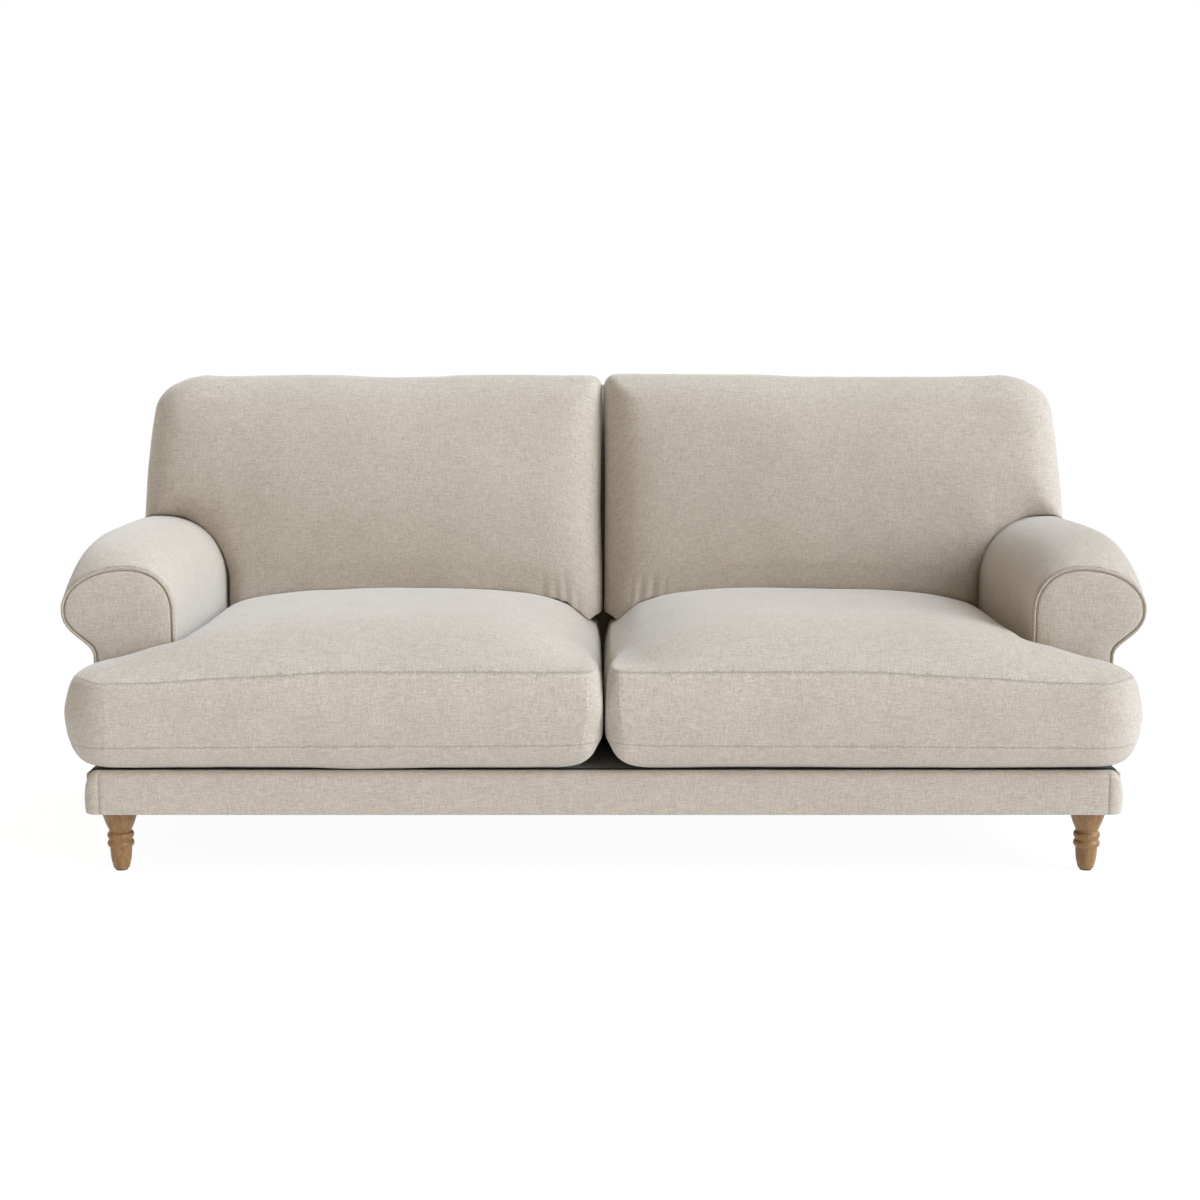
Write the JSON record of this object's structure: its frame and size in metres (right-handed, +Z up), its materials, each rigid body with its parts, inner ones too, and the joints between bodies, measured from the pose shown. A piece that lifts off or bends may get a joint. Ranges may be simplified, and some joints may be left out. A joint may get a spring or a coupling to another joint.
{
  "type": "english roll arm sofa",
  "caption": "Upholstered roll arm sofa with low piped arms, T-shaped seat cushions, loose back cushions with wings over the arms, and short turned wooden legs.",
  "frame": {"origin": "on the floor, under the middle of the sofa's bounding box", "axes": "+Z up, -Y towards the front where a sitter's feet go, +X along the sofa's length, to the right as seen from the front"},
  "size_m": [2.15, 1.01, 0.9524],
  "materials": {
    "oatmeal_linen": "oatmeal linen-look plain weave with fine slubs, matte",
    "linen_piping": "cord covered in the same linen",
    "beech_frame": "planed, unfinished",
    "oak_legs": "turned oak, satin oil",
    "zinc_steel": "zinc plated",
    "jute_webbing": "woven jute",
    "dust_cloth": "black non-woven cloth",
    "nylon_glide": "moulded, worn"
  },
  "bodies": {
    "sofa_frame": {"front_border": "oatmeal_linen", "front_rail": "beech_frame", "rear_rail": "beech_frame", "centre_rail": "beech_frame", "dust_cover": "dust_cloth", "seat_deck": "oatmeal_linen", "leg_front_left": "oak_legs", "leg_stud_front_left": "zinc_steel", "leg_glide_front_left": "nylon_glide", "corner_block_front_left": "beech_frame", "leg_rear_left": "oak_legs", "leg_stud_rear_left": "zinc_steel", "leg_glide_rear_left": "nylon_glide", "corner_block_rear_left": "beech_frame", "side_rail_left": "beech_frame", "side_border_left": "oatmeal_linen", "seat_webbing_left": "jute_webbing", "arm_facing_left": "oatmeal_linen", "arm_piping_left": "linen_piping", "arm_front_board_left": "beech_frame", "arm_rear_board_left": "beech_frame", "arm_rail_left": "beech_frame", "arm_padding_left": "oatmeal_linen", "arm_outside_panel_left": "oatmeal_linen", "back_side_border_left": "oatmeal_linen", "back_post_left": "beech_frame", "back_wing_post_left": "beech_frame", "leg_front_right": "oak_legs", "leg_stud_front_right": "zinc_steel", "leg_glide_front_right": "nylon_glide", "corner_block_front_right": "beech_frame", "leg_rear_right": "oak_legs", "leg_stud_rear_right": "zinc_steel", "leg_glide_rear_right": "nylon_glide", "corner_block_rear_right": "beech_frame", "side_rail_right": "beech_frame", "side_border_right": "oatmeal_linen", "seat_webbing_right": "jute_webbing", "arm_facing_right": "oatmeal_linen", "arm_piping_right": "linen_piping", "arm_front_board_right": "beech_frame", "arm_rear_board_right": "beech_frame", "arm_rail_right": "beech_frame", "arm_padding_right": "oatmeal_linen", "arm_outside_panel_right": "oatmeal_linen", "back_side_border_right": "oatmeal_linen", "back_post_right": "beech_frame", "back_wing_post_right": "beech_frame", "back_inside_pad": "oatmeal_linen", "back_top_rail": "beech_frame", "back_lower_rail": "beech_frame", "back_centre_post": "beech_frame", "back_webbing": "jute_webbing", "back_outside_panel": "oatmeal_linen", "back_top_border": "oatmeal_linen"},
    "seat_cushion_left": {"seat_cushion_left": "oatmeal_linen"},
    "seat_cushion_right": {"seat_cushion_right": "oatmeal_linen"},
    "back_cushion_left": {"back_cushion_left": "oatmeal_linen"},
    "back_cushion_right": {"back_cushion_right": "oatmeal_linen"}
  },
  "joints": [
    {"name": "seat_cushion_left_pull", "type": "slide", "parent": "sofa_frame", "child": "seat_cushion_left", "axis": [0, -1, 0], "range_m": [0, 0.92]},
    {"name": "back_cushion_left_lift", "type": "slide", "parent": "sofa_frame", "child": "back_cushion_left", "axis": [0, 0.1736, 0.9848], "range_m": [0, 0.6]},
    {"name": "seat_cushion_right_pull", "type": "slide", "parent": "sofa_frame", "child": "seat_cushion_right", "axis": [0, -1, 0], "range_m": [0, 0.92]},
    {"name": "back_cushion_right_lift", "type": "slide", "parent": "sofa_frame", "child": "back_cushion_right", "axis": [0, 0.1736, 0.9848], "range_m": [0, 0.6]}
  ]
}
